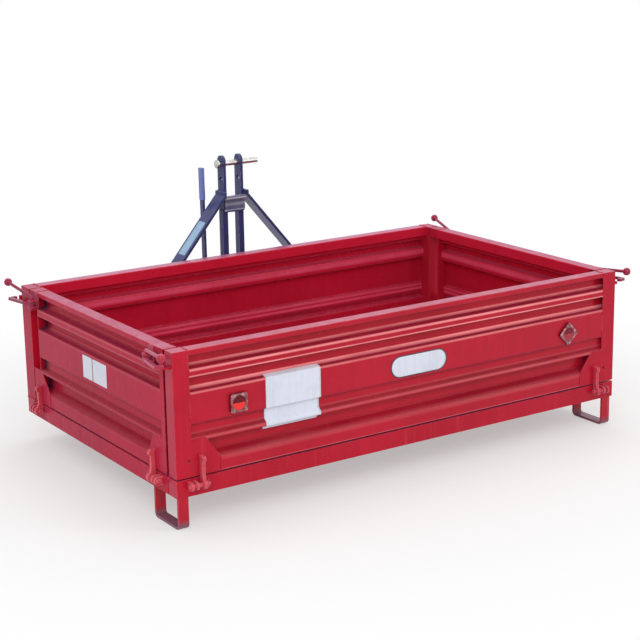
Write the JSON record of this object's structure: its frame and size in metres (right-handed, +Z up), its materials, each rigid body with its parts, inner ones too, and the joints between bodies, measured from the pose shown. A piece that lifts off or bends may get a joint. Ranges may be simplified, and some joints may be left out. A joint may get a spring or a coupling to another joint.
{
  "type": "tractor three-point-hitch tipping transport box",
  "caption": "Drop-sided steel box that tips to the rear on a three-point hitch frame, with a drop tailgate, drop side panels, corner latches and a release lever.",
  "frame": {"origin": "on the ground, under the middle of the bounding box", "axes": "+X to the right seen from behind, +Y towards the tractor, +Z up"},
  "size_m": [1.7014, 1.1292, 0.836],
  "materials": {
    "red_paint": "glossy sprayed red paint over pressed sheet and tube",
    "slate_blue_paint": "dark slate-blue paint",
    "bare_steel": "zinc-plated steel pins",
    "grip_plastic": "moulded blue grip",
    "bright_bezel": "bright pressed bezel",
    "red_lens": "moulded red reflector lens"
  },
  "bodies": {
    "chassis": {"underframe_rails": "slate_blue_paint", "underframe_cross_member": "slate_blue_paint", "tipping_shaft": "bare_steel", "link_uprights": "slate_blue_paint", "lower_link_pins": "bare_steel", "headstock_crossbar": "slate_blue_paint", "mast_posts": "slate_blue_paint", "mast_ears": "slate_blue_paint", "mast_cross_plate": "slate_blue_paint", "mast_brace_left": "slate_blue_paint", "mast_brace_right": "slate_blue_paint", "top_link_pin": "bare_steel", "lever_bracket": "slate_blue_paint"},
    "bed": {"bed_rail_rear": "red_paint", "bed_rail_front": "red_paint", "bed_rails_side": "red_paint", "bed_floor": "red_paint", "bed_cross_members": "red_paint", "front_panel": "red_paint", "front_posts": "red_paint", "rear_posts": "red_paint", "rear_legs": "red_paint", "pivot_lugs": "red_paint", "catch_bar": "red_paint", "bed_hinge_lugs": "red_paint"},
    "tailgate": {"tailgate_sheet": "red_paint", "tailgate_stiles": "red_paint", "tailgate_hinge_straps": "red_paint", "reflector_bezels": "bright_bezel", "reflector_lenses": "red_lens"},
    "side_left": {"side_left_sheet": "red_paint", "side_left_ends": "red_paint", "side_left_hinge_straps": "red_paint", "side_left_latch_brackets": "red_paint"},
    "side_right": {"side_right_sheet": "red_paint", "side_right_ends": "red_paint", "side_right_hinge_straps": "red_paint", "side_right_latch_brackets": "red_paint"},
    "latch_rear_left": {"latch_rear_left": "red_paint"},
    "latch_rear_right": {"latch_rear_right": "red_paint"},
    "latch_front_left": {"latch_front_left": "red_paint"},
    "latch_front_right": {"latch_front_right": "red_paint"},
    "release_lever": {"release_lever": "slate_blue_paint", "lever_grip": "grip_plastic"}
  },
  "joints": [
    {"name": "bed_tilt", "type": "hinge", "parent": "chassis", "child": "bed", "pos_m": [0, -0.2376, 0.0697], "axis": [1, 0, 0], "range_deg": [0, 45]},
    {"name": "tailgate_drop", "type": "hinge", "parent": "bed", "child": "tailgate", "pos_m": [0, -0.5516, 0.127], "axis": [1, 0, 0], "range_deg": [0, 170]},
    {"name": "side_left_drop", "type": "hinge", "parent": "bed", "child": "side_left", "pos_m": [-0.814, -0.0476, 0.127], "axis": [0, -1, 0], "range_deg": [0, 170]},
    {"name": "side_right_drop", "type": "hinge", "parent": "bed", "child": "side_right", "pos_m": [0.814, -0.0476, 0.127], "axis": [0, 1, 0], "range_deg": [0, 170]},
    {"name": "latch_rear_left_turn", "type": "hinge", "parent": "side_left", "child": "latch_rear_left", "pos_m": [-0.816, -0.4226, 0.474], "axis": [0, 0, -1], "range_deg": [-10, 140]},
    {"name": "latch_rear_right_turn", "type": "hinge", "parent": "side_right", "child": "latch_rear_right", "pos_m": [0.816, -0.4226, 0.474], "axis": [0, 0, 1], "range_deg": [-10, 140]},
    {"name": "latch_front_left_turn", "type": "hinge", "parent": "side_left", "child": "latch_front_left", "pos_m": [-0.816, 0.3274, 0.474], "axis": [0, 0, 1], "range_deg": [-10, 140]},
    {"name": "latch_front_right_turn", "type": "hinge", "parent": "side_right", "child": "latch_front_right", "pos_m": [0.816, 0.3274, 0.474], "axis": [0, 0, -1], "range_deg": [-10, 140]},
    {"name": "release_lever_swing", "type": "hinge", "parent": "chassis", "child": "release_lever", "pos_m": [-0.088, 0.5274, 0.2], "axis": [1, 0, 0], "range_deg": [-25, 0]}
  ]
}
